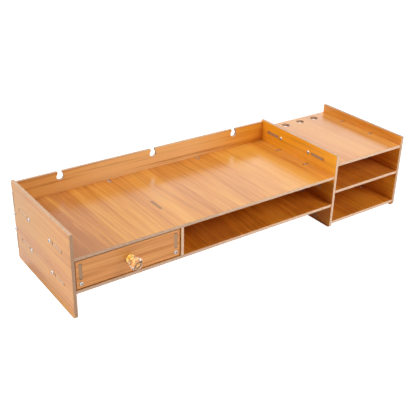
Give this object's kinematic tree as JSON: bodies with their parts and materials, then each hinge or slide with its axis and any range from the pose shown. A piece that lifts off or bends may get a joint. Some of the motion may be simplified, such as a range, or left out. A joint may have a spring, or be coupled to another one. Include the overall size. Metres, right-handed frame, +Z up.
{
  "type": "desk hutch",
  "caption": "Flat-pack monitor riser with a knobbed drawer and open bays, beside a taller open-shelf side unit with pen holes; tabbed, slotted and screwed laminate boards.",
  "frame": {"origin": "on the desk, under the middle of the object's own box", "axes": "+X to the right along the width, +Y to the back, +Z up"},
  "size_m": [0.654, 0.226, 0.136],
  "materials": {
    "laminate": "semi-gloss printed wood-grain laminate with bare cut edges",
    "bare_board": "bare smooth hardboard",
    "zinc": "bright zinc plate",
    "gold": "polished gold-coloured metal",
    "crystal": "clear faceted crystal"
  },
  "bodies": {
    "hutch": {"left_upright": "laminate", "centre_upright": "laminate", "right_upright": "laminate", "back_board": "laminate", "main_shelf": "laminate", "lower_shelf": "laminate", "bay_divider": "laminate", "side_top_shelf": "laminate", "side_middle_shelf": "laminate", "side_bottom_shelf": "laminate", "left_upright_screws": "zinc", "left_upright_nuts": "zinc", "centre_upright_riser_screws": "zinc", "centre_upright_riser_nuts": "zinc", "centre_upright_side_screws": "zinc", "centre_upright_side_nuts": "zinc", "right_upright_screws": "zinc", "right_upright_nuts": "zinc", "back_board_screws": "zinc", "back_board_nuts": "zinc"},
    "drawer": {"drawer_front": "laminate", "drawer_left_side": "laminate", "drawer_right_side": "laminate", "drawer_back": "laminate", "drawer_bottom": "bare_board", "drawer_front_screws": "zinc", "drawer_front_nuts": "zinc", "drawer_back_screws": "zinc", "drawer_back_nuts": "zinc", "knob_screw": "zinc", "knob_crystal": "crystal", "knob_base": "gold"}
  },
  "joints": [
    {"name": "drawer_slide", "type": "slide", "parent": "hutch", "child": "drawer", "axis": [0, -1, 0], "range_m": [0, 0.15]}
  ]
}
